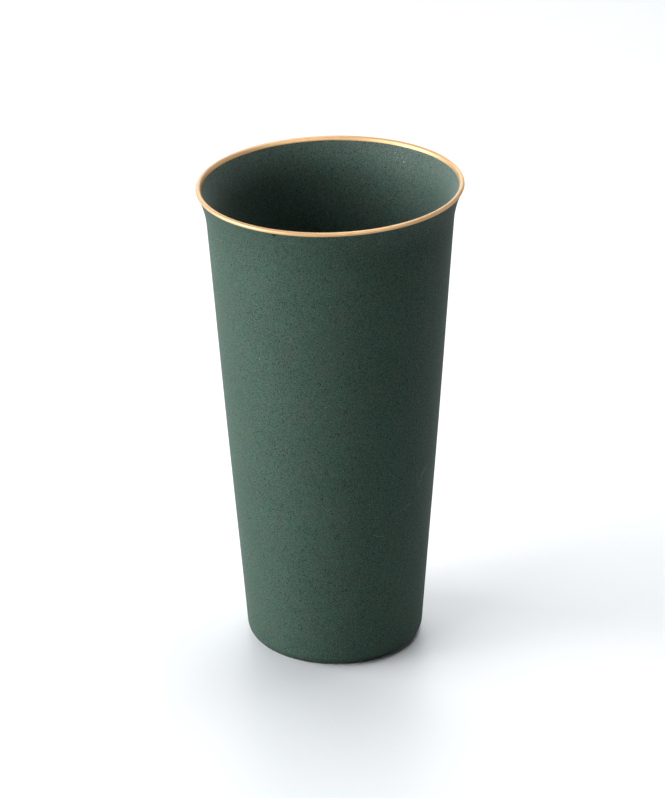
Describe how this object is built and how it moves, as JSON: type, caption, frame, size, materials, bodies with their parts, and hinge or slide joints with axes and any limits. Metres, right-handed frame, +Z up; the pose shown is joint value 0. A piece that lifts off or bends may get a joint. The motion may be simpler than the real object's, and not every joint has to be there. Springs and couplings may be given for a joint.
{
  "type": "tumbler",
  "caption": "Tall tapered ceramic tumbler with a gently flared lip, matt green glaze inside and out and a thin gold line over the rim, for cold drinks.",
  "frame": {"origin": "on the table, under the axis of the vessel", "axes": "+Z up along the axis of the vessel, from the foot to the lip; X and Y level"},
  "size_m": [0.075, 0.075, 0.14],
  "materials": {
    "clay": "matte",
    "green_glaze": "matte",
    "gold": "satin"
  },
  "bodies": {
    "root": {"clay_body": "clay", "outer_glaze": "green_glaze", "inner_glaze": "green_glaze", "foot_recess_glaze": "green_glaze", "gold_rim": "gold"}
  },
  "joints": []
}
